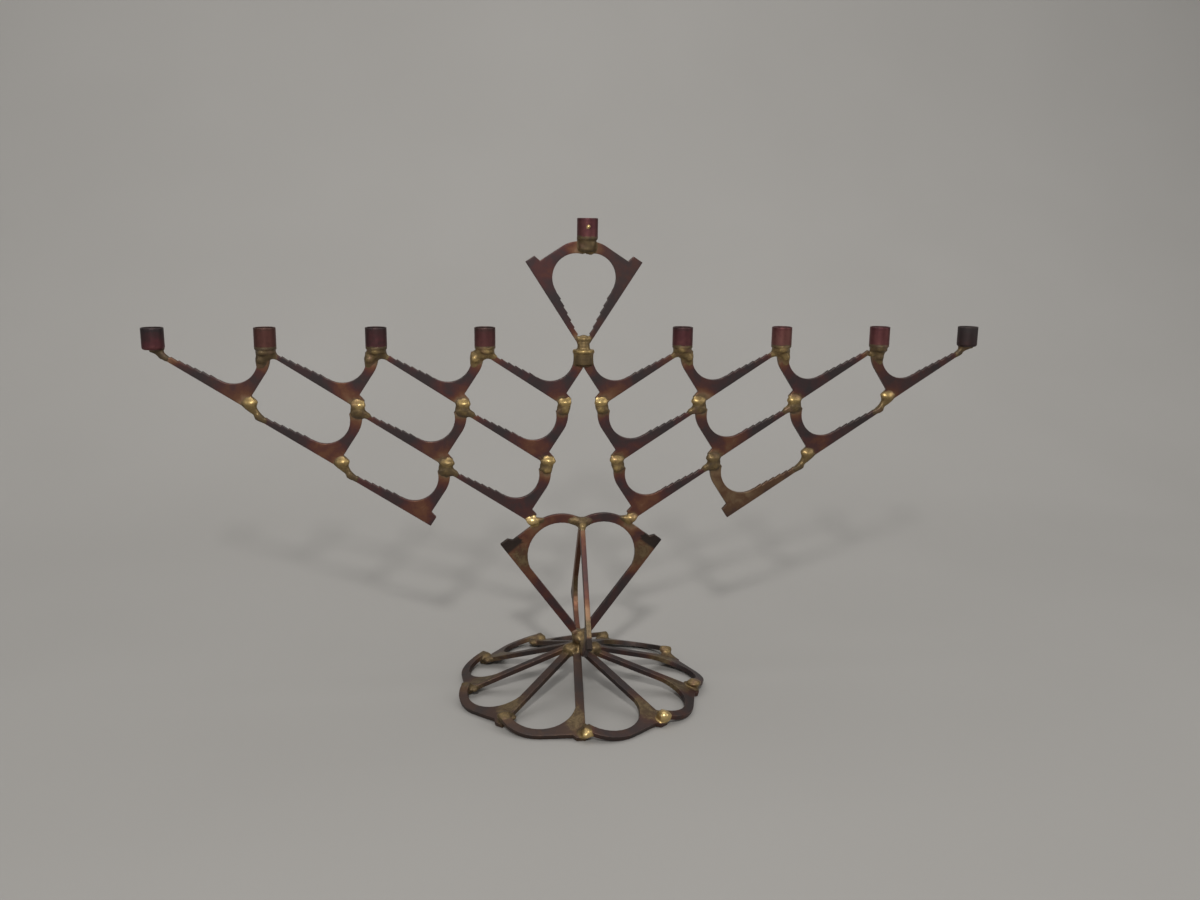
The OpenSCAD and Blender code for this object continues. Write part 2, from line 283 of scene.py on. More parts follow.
def copper_material():
    """Oxidised copper cups. finish = (warmth, brass film, soot, worn edge), tone = (hue, inside, -, -)."""
    n = Nodes("oxidised_copper")
    warmth, film, soot, edge = n.attribute("finish")
    hue, inside, _, _ = n.attribute("tone")
    broad = n.noise(7.0, 3.0, 0.55, 0.5)
    patch = n.noise(2.4, 4.0, 0.62, 0.6)
    fine = n.noise(0.6, 4.0, 0.65)
    grain = n.noise(0.2, 2.0, 0.6)
    turned = n.noise(0.8, 3.0, 0.5, 0.0, n.stretch((0.12, 0.12, 1.6)))
    t = n.math("MULTIPLY_ADD", n.math("SUBTRACT", broad, 0.5), 0.6, warmth)
    t = n.math("MULTIPLY_ADD", n.math("SUBTRACT", patch, 0.5), 0.35, t, clamp=True)
    colour = n.ramp(t, [
        (0.00, (0.048, 0.037, 0.039)),
        (0.30, (0.068, 0.036, 0.038)),
        (0.60, (0.108, 0.039, 0.044)),
        (0.85, (0.150, 0.055, 0.055)),
        (1.00, (0.185, 0.078, 0.070)),
    ])
    colour = n.mix(n.math("MULTIPLY", hue, 0.8), colour, (0.122, 0.060, 0.040))
    film_at = n.span(n.math("MULTIPLY_ADD", n.math("SUBTRACT", patch, 0.5), 1.0, film), 0.35, 0.70)
    colour = n.mix(film_at, colour, (0.165, 0.120, 0.074))
    dark = n.span(n.math("MULTIPLY_ADD", n.math("SUBTRACT", broad, 0.5), 0.7, soot), 0.35, 0.85)
    colour = n.mix(n.math("MULTIPLY", dark, 0.8), colour, (0.026, 0.021, 0.021))
    rub = n.math("MULTIPLY", edge, n.span(patch, 0.40, 0.62))
    colour = n.mix(n.math("MULTIPLY", rub, 0.16), colour, (0.230, 0.120, 0.090))
    colour = n.mix(n.math("MULTIPLY", inside, 0.6), colour, (0.030, 0.022, 0.019))
    rough = n.math("MULTIPLY_ADD", fine, 0.22, 0.30)
    rough = n.math("MULTIPLY_ADD", patch, 0.14, rough)
    rough = n.math("MULTIPLY_ADD", dark, 0.15, rough)
    rough = n.math("MULTIPLY_ADD", rub, -0.14, rough, clamp=True)
    metal = n.math("SUBTRACT", 0.90, n.math("MULTIPLY", dark, 0.4), clamp=True)
    normal = n.bump(grain, 0.010, 0.6)
    normal = n.bump(turned, 0.030, 0.5, normal)
    normal = n.bump(n.math("MULTIPLY_ADD", patch, 1.6, fine), 0.050, 0.8, normal)
    return n.finish(colour, rough, metal, normal)


STEEL, BRASS, COPPER = steel_material(), brass_material(), copper_material()


# ---------------------------------------------------------------- small tools
def hashed(*key):
    """A fixed number from 0 to 1 for each key."""
    h = 2166136261
    for c in "|".join(str(k) for k in key):
        h = ((h ^ ord(c)) * 16777619) & 0xFFFFFFFF
    h ^= h >> 15
    h = (h * 2246822519) & 0xFFFFFFFF
    h ^= h >> 13
    return (h % 100003) / 100003.0


def smooth(x, lo, hi):
    t = np.clip((np.asarray(x, float) - lo) / (hi - lo), 0.0, 1.0)
    return t * t * (3.0 - 2.0 * t)


def add_piece(name, mesh, material, node, weighted=False):
    mesh.materials.clear()
    mesh.materials.append(material)
    mesh.polygons.foreach_set("use_smooth", [True] * len(mesh.polygons))
    piece = bpy.data.objects.new(name, mesh)
    scene.collection.objects.link(piece)
    if weighted:
        piece.modifiers.new("normals", "WEIGHTED_NORMAL").weight = 70
    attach(piece, "root")
    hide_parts(node)


def paint(mesh, name, values):
    """values: one row of up to four numbers for each vertex, kept as a colour attribute."""
    full = np.zeros((len(mesh.vertices), 4), np.float32)
    full[:, :values.shape[1]] = values
    layer = mesh.attributes.new(name, "FLOAT_COLOR", "POINT")
    layer.data.foreach_set("color", full.ravel())


def points_of(mesh):
    p = np.empty(len(mesh.vertices) * 3, np.float32)
    mesh.vertices.foreach_get("co", p)
    return p.reshape(-1, 3).astype(float) / MM


def islands(node):
    """Lowest and highest corner in mm of each separate solid of a CAD node."""
    bm = bmesh.new()
    bm.from_mesh(NODES[node].data)
    bmesh.ops.remove_doubles(bm, verts=bm.verts, dist=WELD)
    seen, found = set(), []
    for start in bm.verts:
        if start in seen:
            continue
        stack, part = [start], []
        seen.add(start)
        while stack:
            v = stack.pop()
            part.append(v.co)
            for e in v.link_edges:
                w = e.other_vert(v)
                if w not in seen:
                    seen.add(w)
                    stack.append(w)
        p = np.array(part) / MM
        found.append((p.min(0), p.max(0)))
    bm.free()
    return found


def joints_of(node, reach):
    """The node's solids gathered into joints: (lowest, highest) corner of each, in mm."""
    groups = []
    for lo, hi in islands(node):
        for g in groups:
            if np.linalg.norm((g[0] + g[1]) / 2 - (lo + hi) / 2) < reach:
                g[0], g[1] = np.minimum(g[0], lo), np.maximum(g[1], hi)
                break
        else:
            groups.append([lo, hi])
    return groups


# ---------------------------------------------------------------- blades as the CAD has them
class Blade:
    """A flat blade's own axes and outline in mm: x from toe to tip along the back edge, y to the arm."""

    def __init__(self, node):
        self.node = node
        bm = bmesh.new()
        bm.from_mesh(NODES[node].data)
        bmesh.ops.remove_doubles(bm, verts=bm.verts, dist=WELD)
        bmesh.ops.dissolve_limit(bm, angle_limit=0.008, verts=bm.verts, edges=bm.edges)
        bm.normal_update()
        big = sorted(bm.faces, key=lambda f: f.calc_area())[-2:]
        n = np.array(big[1].normal)
        loop = np.array([v.co for v in big[1].verts]) / MM
        other = np.array(big[0].calc_center_median()) / MM
        self.half = abs((loop[0] - other) @ n) / 2
        loop = loop - n * self.half
        ends = np.roll(loop, -1, axis=0)
        k = int(np.argmax(np.linalg.norm(ends - loop, axis=1)))
        middle = loop.mean(0)
        toe, tip = loop[k], ends[k]
        if np.linalg.norm(middle - toe) > np.linalg.norm(middle - tip):
            toe, tip = tip, toe
        x = (tip - toe) / np.linalg.norm(tip - toe)
        y = np.cross(n, x)
        if (middle - toe) @ y < 0:
            y = -y
        self.origin, self.x, self.y, self.n = toe, x, y, np.cross(x, y)
        self.outline = np.stack([(loop - toe) @ x, (loop - toe) @ y], 1)
        self.length = float(np.linalg.norm(tip - toe))
        a, b = self.outline, np.roll(self.outline, -1, axis=0)
        far = (np.minimum(a[:, 1], b[:, 1]) > 0.75 * a[:, 1].max()) & (a[:, 0] < 0.5 * self.length)
        widest = int(np.argmax(np.where(far, np.linalg.norm(a - b, axis=1), 0.0)))
        self.arm_end = (a[widest] + b[widest]) / 2
        self.bm = bm

    def local(self, p):
        d = p - self.origin
        return np.stack([d @ self.x, d @ self.y, d @ self.n], -1)

    def world(self, x, y):
        return self.origin + x * self.x + y * self.y

    def distance(self, p):
        """Signed distance in mm from the points p to the blade."""
        q = self.local(p)
        a, b = self.outline, np.roll(self.outline, -1, axis=0)
        best = np.full(len(q), 1e9)
        inside = np.zeros(len(q), bool)
        px, py = q[:, 0], q[:, 1]
        for (ax, ay), (bx, by) in zip(a, b):
            ex, ey = bx - ax, by - ay
            long = ex * ex + ey * ey
            if long < 1e-10:
                continue
            wx, wy = px - ax, py - ay
            t = np.clip((wx * ex + wy * ey) / long, 0.0, 1.0)
            best = np.minimum(best, (wx - t * ex) ** 2 + (wy - t * ey) ** 2)
            cross = (ay > py) != (by > py)
            if ey:
                inside ^= cross & (px < ax + ex * (py - ay) / ey)
        flat = np.where(inside, -1.0, 1.0) * np.sqrt(best)
        deep = np.abs(q[:, 2]) - self.half
        outside = np.hypot(np.maximum(flat, 0.0), np.maximum(deep, 0.0))
        return np.minimum(np.maximum(flat, deep), 0.0) + outside


SLOT_OF = {s["node"]: s["material_slot"] for s in frame["record"]["subparts"]}
BLADES = {n: Blade(n) for n in sorted(NODES) if SLOT_OF[n] == "blade"}
ALL_JOINTS = {n: joints_of(n, 6.0) for n in sorted(NODES) if SLOT_OF[n] == "braze"}
HOT = [((lo + hi) / 2, (hi - lo).max() / 2) for n in ALL_JOINTS for lo, hi in ALL_JOINTS[n]]

EDGE_R = 0.26            # mm, the rounding of a blade's edges
SLICE = 2.2              # mm between the cuts that let a blade carry its tints
# the round crotch of a long and of a short blade, in the blade's axes: its middle and its tint's reach, in mm
LONG_CROTCH, SHORT_CROTCH = (14.0, 5.5, 11.0, 7.0), (12.0, 5.0, 12.0, 8.0)
# how olive a blade is, from 0 to 1, where the object shows it
HUE = {
    "wing_left_row1_blade1": 0.40, "heart_blade_left": 0.12, "heart_blade_right": 0.45,
    "wing_right_row3_blade1": 0.62, "stem_blade_front": 0.40, "stem_blade_rear": 0.40,
}
# blades that are warmer all over than their joints make them
WARM = {
    "wing_left_row1_blade1": 0.08, "wing_right_row1_blade1": 0.10, "wing_right_row1_blade4": 0.06,
    "wing_right_row3_blade1": 0.60, "wing_right_row3_blade2": 0.12,
    "heart_blade_left": 0.02, "heart_blade_right": 0.08,
    "stem_blade_front": 0.34, "stem_blade_rear": 0.62, "stem_blade_left": 0.22, "stem_blade_right": 0.12,
}


def away_from(q, spot):
    """How far points are from an oval spot's middle, as a share of its reach."""
    x, y, reach_x, reach_y = spot
    return np.hypot((q[:, 0] - x) / reach_x, (q[:, 1] - y) / reach_y)


def dress_blade(blade):
    """The CAD blade with rounded edges, cut fine enough to carry its tints."""
    bm, name = blade.bm, blade.node
    sharp = [e for e in bm.edges if len(e.link_faces) == 2 and e.calc_face_angle() > 0.5]
    mark = bm.verts.layers.float.new("edge")
    made = bmesh.ops.bevel(bm, geom=sharp, offset=EDGE_R * MM, offset_type="OFFSET", segments=2,
                           profile=0.5, affect="EDGES", clamp_overlap=False)
    strips = set(made["faces"])
    for v in made["verts"]:
        if v.is_valid and all(f in strips for f in v.link_faces):
            v[mark] = 1.0
    bmesh.ops.triangulate(bm, faces=[f for f in bm.faces if len(f.verts) > 4])
    for axis in (blade.x, blade.y):
        at = np.array([(np.array(v.co) / MM - blade.origin) @ axis for v in bm.verts])
        for cut in np.arange(at.min() + SLICE / 2, at.max(), SLICE):
            p = (blade.origin + axis * cut) * MM
            bmesh.ops.bisect_plane(bm, geom=bm.verts[:] + bm.edges[:] + bm.faces[:], dist=1e-7,
                                   plane_co=p, plane_no=axis)
    mesh = bpy.data.meshes.new(name + "_dressed")
    edge = np.array([v[mark] for v in bm.verts])
    bm.to_mesh(mesh)
    bm.free()

    # finish: how hot each point was, the brass film on it and its soot, from the joints near it
    p = points_of(mesh)
    q = blade.local(p)
    heat = np.zeros(len(p))
    near = np.full(len(p), 1e9)
    for centre, r in HOT:
        d = np.maximum(np.linalg.norm(p - centre, axis=1) - r, 0.0)
        strength = 0.62 + 0.5 * hashed("hot", round(centre[0], 0), round(centre[2], 0), name)
        heat = np.maximum(heat, strength * np.exp(-d / 5.5))
        near = np.minimum(near, d)
    in_base, in_stem, in_front = name.startswith("base"), name.startswith("stem"), name == "stem_blade_front"
    film = 0.62 * (1.0 - smooth(near, 0.0, 2.6))
    if in_base or in_stem:
        # brass ran into the crotch, and heat browned the arm and bar round it
        c = away_from(q, LONG_CROTCH)
        film = np.maximum(film, (0.90 if in_base else 0.72) * (1.0 - smooth(c, 0.35, 1.25)))
        heat = np.maximum(heat, 0.60 * (1.0 - smooth(c, 0.6, 2.0)))
    else:
        # the crotch of a short blade is browner than its bar and arm
        c = away_from(q, SHORT_CROTCH)
        heat = np.maximum(heat, (0.12 + 0.50 * hashed("crotch", name)) * (1.0 - smooth(c, 0.3, 1.6)))
    heat = heat + WARM.get(name, 0.10 * hashed("warm", name))
    soot = 0.24 * smooth(near, 9.0, 20.0) * (0.3 + hashed("soot", name))
    if in_base:
        heat, soot = 0.70 * heat + 0.08, soot * 0.3
    if in_front:
        film = np.maximum(film, 1.05 * smooth(q[:, 0], 6.0, 8.0) * (1.0 - smooth(q[:, 0], 14.0, 19.0)))
    if in_stem:
        # the toes of the stem are black
        black = 1.0 - smooth(q[:, 0], 5.0, 7.0 if in_front else 9.5)
        soot = np.maximum(soot, 1.15 * black * (q[:, 1] < 12.0))
    paint(mesh, "finish", np.stack([np.clip(heat, 0, 1), film, soot, edge], 1))
    hue = HUE.get(name, (0.45 if in_base else 0.08) + 0.34 * hashed("hue", name))
    paint(mesh, "tone", np.tile([hue, hashed("scale", name), 0.0, 0.0], (len(p), 1)))
    add_piece(name + "_piece", mesh, STEEL, name, weighted=True)


for blade in BLADES.values():
    dress_blade(blade)


# ---------------------------------------------------------------- cups
def lathe(profile, turns, wobble):
    """A closed ring of (r, z) points in mm turned about Z; wobble(angle, z) scales the radius."""
    bm = bmesh.new()
    rings = []
    for i in range(turns):
        a = 2 * math.pi * i / turns
        ring = []
        for r, z in profile:
            wide = r * wobble(a, z)
            ring.append(bm.verts.new((wide * math.cos(a) * MM, wide * math.sin(a) * MM, z * MM)))
        rings.append(ring)
    n = len(profile)
    for i in range(turns):
        here, there = rings[i], rings[(i + 1) % turns]
        for j in range(n - 1):
            bm.faces.new((here[j], there[j], there[j + 1], here[j + 1]))
    for j, flip in ((0, True), (n - 1, False)):
        cap = [r[j] for r in rings]
        bm.faces.new(cap[::-1] if flip else cap)
    bmesh.ops.recalc_face_normals(bm, faces=bm.faces)
    return bm


def arc_points(cx, cz, r, a0, a1, steps):
    return [(cx + r * math.cos(math.radians(a0 + (a1 - a0) * i / steps)),
             cz + r * math.sin(math.radians(a0 + (a1 - a0) * i / steps))) for i in range(steps + 1)]


# how warm each cup is, how fast that fades to its rim, how brown and how sooty it is
CUP_LOOK = {
    "cup_left_1": (0.75, 0.70, 0.00, 0.20), "cup_left_2": (0.75, 0.20, 0.60, 0.00),
    "cup_left_3": (0.55, 0.20, 0.05, 0.10), "cup_left_4": (0.80, 0.45, 0.25, 0.05),
    "cup_shamash": (0.80, 0.10, 0.00, 0.00), "cup_right_4": (0.80, 0.25, 0.05, 0.00),
    "cup_right_3": (1.05, 0.15, 0.15, 0.00), "cup_right_2": (0.90, 0.15, 0.00, 0.00),
    "cup_right_1": (0.15, 0.10, 0.10, 0.75),
}
SOCKETS = {m["name"].replace("_socket", ""): m for m in frame["record"]["mounts"]}


def dress_cup(node):
    lo, hi = (np.array(c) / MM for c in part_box(node))
    socket = SOCKETS[node]
    r_out, height = (hi[0] - lo[0]) / 2, hi[2] - lo[2]
    r_in, depth = socket["dims"]["r_mm"], socket["dims"]["length_mm"]
    lip = (r_out - r_in) / 2 * 0.92
    foot = 1.3
    profile = [(0.6, 0.0), (r_out * 0.5, 0.0)]
    profile += arc_points(r_out - foot, foot, foot, -90, 0, 5)
    profile += [(r_out, z) for z in np.linspace(foot + 0.8, height - lip - 0.8, 9)]
    profile += arc_points(r_out - lip, height - lip, lip, 0, 90, 4)
    profile += arc_points(r_in + lip, height - lip, lip, 90, 180, 4)
    profile += [(r_in, z) for z in np.linspace(height - lip - 0.8, height - depth + 1.2, 7)]
    profile += arc_points(r_in - 0.6, height - depth + 0.6, 0.6, 0, -90, 4)
    profile += [(r_in * 0.5, height - depth), (0.6, height - depth)]
    p1, p2 = hashed("p1", node) * 6.28, hashed("p2", node) * 6.28

    def out_of_round(a, z):
        return 1.0 - 0.004 * (1 + math.cos(2 * a + p1)) - 0.003 * (1 + math.cos(3 * a + p2 + 0.2 * z))

    bm = lathe(profile, 72, out_of_round)
    mesh = bpy.data.meshes.new(node + "_dressed")
    bm.to_mesh(mesh)
    bm.free()
    q = points_of(mesh)
    rad = np.hypot(q[:, 0], q[:, 1])
    high = q[:, 2] / height
    inner = ((rad < r_in + lip * 0.7) & (q[:, 2] > height - depth - 0.1)).astype(float) * (high < 0.985)
    edge = smooth(high, 0.96, 0.99) * (1 - inner)
    warm, fade, hue, dark = CUP_LOOK[node]
    film_top = 3.2 if node == "cup_shamash" else 2.4
    film = (0.0 if node.endswith("_1") else 0.75) * (1.0 - smooth(q[:, 2], 0.9, film_top))
    warmth = warm - fade * high - 0.25 * smooth(high, 0.80, 1.0)
    paint(mesh, "finish", np.stack([warmth, film, dark * (0.4 + 0.6 * high), edge], 1))
    paint(mesh, "tone", np.stack([np.full(len(q), hue), inner, 0 * high, 0 * high], 1))
    mesh.transform(Matrix.Translation(Vector(((lo[0] + hi[0]) / 2, (lo[1] + hi[1]) / 2, lo[2])) * MM))
    add_piece(node + "_piece", mesh, COPPER, node, weighted=True)


for node in sorted(SOCKETS):
    dress_cup(node)


# ---------------------------------------------------------------- braze: wetted metal as a field
def join(a, b, k):
    """Smallest of two distances, with a fillet of about k where they meet."""
    h = np.clip(0.5 + 0.5 * (b - a) / k, 0.0, 1.0)
    return b * (1 - h) + a * h - k * h * (1 - h)


# Each shape below is its distance field and the two corners of its box, in mm.
def ball(c, r):
    """A ball, or an oval one where r is its three half-widths."""
    c, r = np.array(c, float), np.broadcast_to(np.array(r, float), 3)

    def field(p):
        q = (p - c) / r
        k0 = np.linalg.norm(q, axis=1)
        k1 = np.maximum(np.linalg.norm(q / r, axis=1), 1e-6)
        return k0 * (k0 - 1.0) / k1
    return field, c - r, c + r


def rod(a, b, ra, rb):
    """A round-ended rod from a to b, with radius ra at a and rb at b."""
    a, b = np.array(a, float), np.array(b, float)

    def field(p):
        t = np.clip(((p - a) @ (b - a)) / ((b - a) @ (b - a)), 0.0, 1.0)
        return np.linalg.norm(p - a - t[:, None] * (b - a), axis=1) - (ra + (rb - ra) * t)
    r = max(ra, rb)
    return field, np.minimum(a, b) - r, np.maximum(a, b) + r


def drum(c, r, z0, z1, soft):
    """An upright drum about the point c, with edges rounded by soft."""
    c = np.array([c[0], c[1], (z0 + z1) / 2], float)
    h = (z1 - z0) / 2

    def field(p):
        d = p - c
        a = np.hypot(d[:, 0], d[:, 1]) - r + soft
        b = np.abs(d[:, 2]) - h + soft
        return np.minimum(np.maximum(a, b), 0) + np.hypot(np.maximum(a, 0), np.maximum(b, 0)) - soft
    e = np.array([r, r, h])
    return field, c - e, c + e


def lumps(p, key, amount, size):
    """Slow unevenness, from a few waves in fixed directions."""
    total = np.zeros(len(p))
    for i in range(5):
        d = np.array([hashed(key, i, j) - 0.5 for j in range(3)])
        d /= np.linalg.norm(d) + 1e-9
        wave = size * (0.7 + 0.9 * hashed(key, i, "s"))
        total += np.sin(p @ d * (6.283 / wave) + 6.283 * hashed(key, i, "p"))
    return amount * total / 2.2


def nets(f, origin, step):
    """Surface nets: the mesh where the gridded field f crosses 0."""
    inside = f < 0
    shape = tuple(s - 1 for s in f.shape)
    total = np.zeros(shape + (3,))
    count = np.zeros(shape)

    def corner(a, o):
        return a[tuple(slice(o[i], shape[i] + o[i]) for i in range(3))]

    for axis in range(3):
        for u in (0, 1):
            for v in (0, 1):
                o0 = [u, v]
                o0.insert(axis, 0)
                o1 = list(o0)
                o1[axis] = 1
                f0, f1 = corner(f, o0), corner(f, o1)
                hit = (f0 < 0) != (f1 < 0)
                t = np.where(hit, f0 / np.where(hit, f0 - f1, 1.0), 0.0)
                for i in range(3):
                    total[..., i] += np.where(hit, o0[i] + (t if i == axis else 0.0), 0.0)
                count += hit
    live = count > 0
    index = np.full(shape, -1)
    index[live] = np.arange(live.sum())
    cell = np.stack(np.nonzero(live), 1)
    verts = origin + step * (cell + total[live] / count[live][:, None])
    quads = []
    for axis in range(3):
        b, c = (axis + 1) % 3, (axis + 2) % 3
        lo = [slice(None)] * 3
        hi = [slice(None)] * 3
        lo[axis], hi[axis] = slice(None, -1), slice(1, None)
        change = inside[tuple(lo)] != inside[tuple(hi)]
        at = np.stack(np.nonzero(change), 1)
        keep = (at[:, b] > 0) & (at[:, c] > 0) & (at[:, b] < shape[b]) & (at[:, c] < shape[c])
        at = at[keep]
        starts = inside[tuple(at.T)]
        ring = []
        for db, dc in ((1, 1), (0, 1), (0, 0), (1, 0)):
            w = at.copy()
            w[:, b] -= db
            w[:, c] -= dc
            ring.append(index[tuple(w.T)])
        q = np.stack(ring, 1)
        q[~starts] = q[~starts][:, ::-1]
        quads.append(q)
    return verts, np.concatenate(quads)


def melt(key, seeds, blades, cup=None, wet=2.0, uneven=0.09, step=0.40, reach=2.4, ripple=0.0, soft=1.8):
    """Braze over the seeds, each (field, low corner, high corner) with its age, wetting the blades and
    the cup near them: vertices in mm, faces, finish rows."""
    ages = [age for _, age in seeds]
    seeds = [seed for seed, _ in seeds]
    lo = np.min([s[1] for s in seeds], 0) - reach - step
    hi = np.max([s[2] for s in seeds], 0) + reach + step
    grid = [np.arange(lo[i], hi[i] + step, step) for i in range(3)]
    p = np.stack(np.meshgrid(*grid, indexing="ij"), -1).reshape(-1, 3)
    seed = seeds[0][0](p)
    for s in seeds[1:]:
        seed = join(seed, s[0](p), soft)
    seed = seed + lumps(p, key, uneven, 4.5)
    near = seed < reach + 1.0
    f = seed.copy()
    q = p[near]
    solid = None
    for name in blades:
        d = BLADES[name].distance(q)
        solid = d if solid is None else join(solid, d, wet)
    if cup is not None:
        c, r, z0, z1 = cup
        d = drum(c, r, z0, z1, 0.3)[0](q)
        solid = d if solid is None else join(solid, d, wet)
    g = seed[near]
    if solid is not None:
        g = join(g, solid, wet)
    edge = seed[near] - reach + 0.6 * lumps(q, key + "e", 1.0, 3.5)
    f[near] = -join(-(g + 0.06), -edge, 0.8)
    f = f.reshape([len(g_) for g_ in grid])
    verts, quads = nets(f, lo, step)
    # each spot takes the age of the seeds nearest to it, and thin braze at the rim is browner
    away = np.array([s[0](verts) for s in seeds])
    share = np.exp(-(away - away.min(0)) / 0.7)
    age = (share * np.array(ages)[:, None]).sum(0) / share.sum(0)
    old = np.clip(age + 0.40 * smooth(away.min(0), 0.2, reach), 0, 1)
    z = np.zeros(len(verts))
    return verts, quads, np.stack([old, z, z, z + ripple], 1)


def build_braze(node, melts):
    verts = np.concatenate([m[0] for m in melts])
    rows = np.concatenate([m[2] for m in melts])
    faces, base = [], 0
    for v, q, _ in melts:
        faces.extend((q + base).tolist())
        base += len(v)
    mesh = bpy.data.meshes.new(node + "_dressed")
    mesh.from_pydata((verts * MM).tolist(), [], faces)
    mesh.validate()
    paint(mesh, "finish", rows)
    add_piece(node + "_piece", mesh, BRASS, node)


def cup_spec(node):
    lo, hi = (np.array(c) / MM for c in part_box(node))
    return ((lo + hi) / 2)[:2], (hi[0] - lo[0]) / 2, lo[2], hi[2]


def wing_blade(side, row, k):
    return f"wing_{side}_row{row}_blade{k}"


def tip(name):
    b = BLADES[name]
    return b.world(b.length, 1.0)


def arm_top(name, down=0.0):
    """The middle of the end of a blade's arm, or a point further down the arm."""
    b = BLADES[name]
    top, root = b.world(*b.arm_end), b.world(4.5, 12.0)
    return top + (root - top) / np.linalg.norm(root - top) * down


# ---------------------------------------------------------------- braze of every joint
SIDE = {"left": -1.0, "right": 1.0}
# how dull the ball at each joint of a row is, outermost first
BALL_AGE = {
    ("left", 2): (0.30, 0.10, 0.30, 0.20), ("right", 2): (0.22, 0.25, 0.30, 0.12),
    ("left", 3): (0.30, 0.46, 0.25), ("right", 3): (0.42, 0.62, 0.30),
}
# how dull the braze under each cup is, outermost cup first, and how bright the beads on it are
PAD_AGE = {"left": (0.90, 0.86, 0.76, 0.56), "right": (0.74, 0.78, 0.62, 0.66)}
BEADS = {"left": (1.0, 0.70, 0.45, 0.15), "right": (1.0, 0.70, 0.20, 0.35)}

for side, s in SIDE.items():
    parts = []
    for k in range(1, 5):
        c, r, z0, z1 = cup_spec(f"cup_{side}_{k}")
        mine = wing_blade(side, 1, k)
        age, bead = PAD_AGE[side][k - 1], BEADS[side][k - 1]
        if k == 1:
            # the bar's tip stops short of the outermost cup, and the braze carries its line on under the cup
            end, along = tip(mine), BLADES[mine].x
            far = c[0] + (3.0 if s > 0 else -1.2)
            seeds = [
                (rod(end - 3.0 * along, end + 4.4 * along, 1.4, 0.9), age),
                (rod((c[0] - s * 3.4, 0, z0 - 0.5), (far, 0, z0 - 0.2), 1.5, 1.2), age),
                (rod(end - 1.0 * along, (c[0] - s * 3.0, 0, z0 - 0.6), 1.3, 1.3), age),
            ]
            parts.append(melt(f"c{side}{k}", seeds, [mine], (c, r, z0, z1), wet=1.2, reach=0.9, step=0.32))
            continue
        inner = wing_blade(side, 1, k - 1)
        h = hashed("pad", side, k)
        seeds = [
            (drum(c, r - 0.7, z0 - 2.2, z0 + 0.9, 0.7), age),
            (rod((c[0], 0, z0 - 2.0), arm_top(inner, 4.0), 4.4, 2.7), age - 0.05),
            (rod(arm_top(inner, 3.0), arm_top(inner, 7.0), 2.5, 2.0), age - 0.10),
            (rod((c[0] - s * 2.2, 0, z0 - 2.8), (c[0] - s * 5.4, 0, z0 - 4.6), 2.2, 1.2), age - 0.20),
            (ball((c[0] - s * (1.4 - 3.4 * h), -4.7, z0 - 0.9 - 0.8 * h), (2.0, 1.0, 1.0)), bead),
            (ball(arm_top(inner, 4.6) - (0, 2.3, 0), (1.6, 1.0, 1.2)), bead + 0.1),
        ]
        parts.append(melt(f"c{side}{k}", seeds, [mine, inner], (c, r, z0, z1), wet=1.2, reach=1.5, step=0.36,
                          uneven=0.12))
    build_braze(f"braze_cups_{side}", parts)

    for row in (2, 3):
        parts = []
        for k in range(1, 7 - row):
            above = wing_blade(side, row - 1, k)
            toe = BLADES[above].origin
            near = [above]
            innermost = k == 6 - row
            if not innermost:
                near.append(wing_blade(side, row, k))
            if k > 1:
                near.append(wing_blade(side, row, k - 1))
            h, bright = hashed(side, row, k), BALL_AGE[side, row][k - 1]
            if k == 1:
                below = BLADES[near[1]]
                end = below.world(below.length, 1.4)
                seeds = [
                    (ball((toe[0] - s * 0.2, -0.6, toe[2] + 4.2), (3.2, 2.4, 2.0)), bright),
                    (rod((toe[0] + s * 0.3, 0, toe[2] + 2.6), end - 1.0 * below.x, 2.7, 1.3), 0.62),
                    (rod(end, end - 4.0 * below.x, 1.2, 0.8), 0.70),
                ]
            else:
                top = (toe[0] - s * (0.2 + 0.6 * h), -0.8, toe[2] + 2.4)
                bead = (toe[0] + s * 0.2, -1.8, toe[2] - 1.4 - h)
                seeds = [
                    (ball(top, (3.3 + 0.5 * h, 2.5, 1.8 + 0.3 * h)), bright),
                    (ball((toe[0] + s * 0.8, 0, toe[2] - 0.2), (3.8, 2.0, 3.0 if innermost else 3.4)), 0.78),
                    (ball(bead, (1.6, 0.8, 1.2)), 0.24 if innermost else 0.60),
                ]
                if not innermost:
                    bar = (toe[0] - s * 0.6, 0, toe[2] - 1.4), (toe[0] - s * 4.6, 0, toe[2] - 3.2)
                    seeds.append((rod(*bar, 1.8, 1.2), 0.60))
            parts.append(melt(f"r{side}{row}{k}", seeds, near, wet=2.4, reach=1.9, step=0.36, uneven=0.07))
        build_braze(f"braze_{side}_row{row}", parts)

    last = wing_blade(side, 3, 2)
    toe = BLADES[last].origin
    arm = f"stem_blade_{side}"
    bright = 0.02 if side == "left" else 0.30
    seeds = [
        (ball((toe[0] - s * 0.9, -0.8, toe[2] + 1.0), (3.4, 2.4, 2.4)), bright),
        (ball((toe[0] - s * 4.4, 0, toe[2] + 1.6), (2.2, 1.7, 1.1)), 0.72),
    ]
    build_braze(f"braze_wing_to_stem_{side}",
                [melt(f"w{side}", seeds, [last, arm], wet=2.0, reach=1.8, uneven=0.04)])

